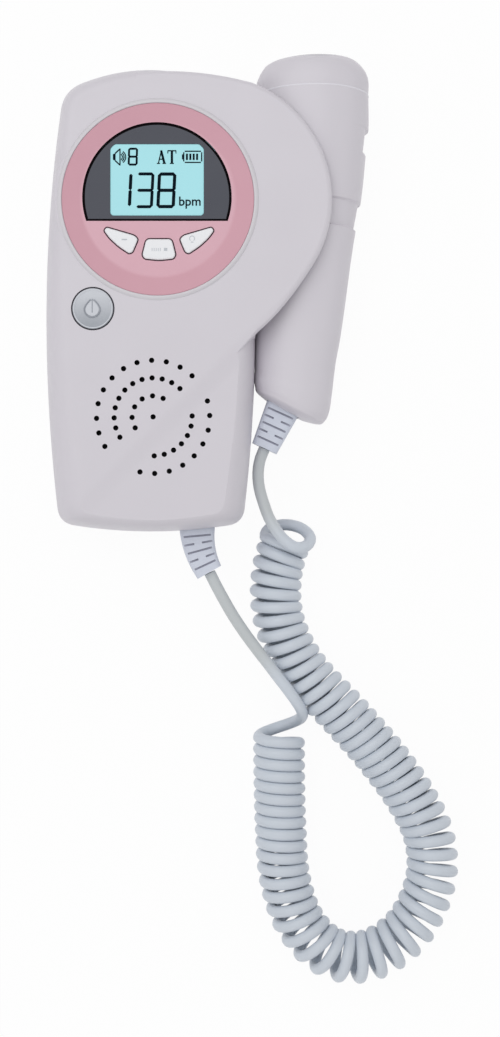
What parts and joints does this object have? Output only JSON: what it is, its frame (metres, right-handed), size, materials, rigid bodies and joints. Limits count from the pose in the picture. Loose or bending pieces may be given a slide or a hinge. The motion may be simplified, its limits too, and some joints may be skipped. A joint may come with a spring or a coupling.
{
  "type": "fetal doppler monitor",
  "caption": "Handheld fetal doppler: pale housing with a round pink display bezel and keys, a side-held probe and a curly cord.",
  "frame": {"origin": "middle of the main unit's flat back", "axes": "+X to the probe's side, +Y to the unit's top, +Z out of its face"},
  "size_m": [0.1258, 0.2845, 0.0355],
  "materials": {
    "shell_white": "fine satin moulding",
    "probe_white": "fine satin moulding",
    "pink_trim": "smooth satin",
    "window_tint": "smooth dark tint",
    "display": "lit display glass",
    "key_white": "smooth",
    "power_silver": "fine metallic paint",
    "board_green": "solder mask",
    "black_parts": "moulded",
    "steel": "plated",
    "cell_wrap": "plain film wrap",
    "face_grey": "smooth",
    "crystal": "polished",
    "damping": "cast",
    "cord_grey": "smooth satin"
  },
  "bodies": {
    "unit": {"front_shell": "shell_white", "rear_shell": "shell_white", "bezel_ring": "pink_trim", "display_window": "window_tint", "lcd_panel": "display", "lcd_backlight": "key_white", "cable_connector": "key_white", "main_board": "board_green", "key_switch_left": "black_parts", "key_switch_center": "black_parts", "key_switch_right": "black_parts", "power_switch": "black_parts", "speaker": "black_parts", "speaker_cloth": "black_parts", "housing_screw_1": "steel", "housing_screw_2": "steel", "housing_screw_3": "steel", "housing_screw_4": "steel", "contact_lower": "steel", "contact_upper": "steel", "battery_left": "cell_wrap", "battery_right": "cell_wrap", "strain_relief_main": "cord_grey", "cord_lead_main": "cord_grey", "cord_coil": "cord_grey"},
    "probe": {"probe_shell_front": "probe_white", "probe_shell_rear": "probe_white", "probe_cap": "probe_white", "probe_face": "face_grey", "crystal_transmit": "crystal", "crystal_receive": "crystal", "probe_backing": "damping", "probe_board": "board_green", "probe_screw_1": "steel", "probe_screw_2": "steel", "strain_relief_probe": "cord_grey", "cord_lead_probe": "cord_grey"},
    "button_left": {"button_left": "key_white"},
    "button_center": {"button_center": "key_white"},
    "button_right": {"button_right": "key_white"},
    "power_button": {"power_button": "power_silver"},
    "battery_cover": {"battery_cover": "shell_white"}
  },
  "joints": [
    {"name": "button_left_press", "type": "slide", "parent": "unit", "child": "button_left", "axis": [0, 0, -1], "range_m": [0, 0.0006], "stiffness_N_per_m": 1500},
    {"name": "button_center_press", "type": "slide", "parent": "unit", "child": "button_center", "axis": [0, 0, -1], "range_m": [0, 0.0006], "stiffness_N_per_m": 1500},
    {"name": "button_right_press", "type": "slide", "parent": "unit", "child": "button_right", "axis": [0, 0, -1], "range_m": [0, 0.0006], "stiffness_N_per_m": 1500},
    {"name": "power_press", "type": "slide", "parent": "unit", "child": "power_button", "axis": [0, 0, -1], "range_m": [0, 0.0008], "stiffness_N_per_m": 1500},
    {"name": "probe_out", "type": "slide", "parent": "unit", "child": "probe", "axis": [1, 0, 0], "range_m": [0, 0.03], "deforming": ["cord_lead_probe"]},
    {"name": "cover_slide", "type": "slide", "parent": "unit", "child": "battery_cover", "axis": [0, -1, 0], "range_m": [0, 0.06]}
  ]
}
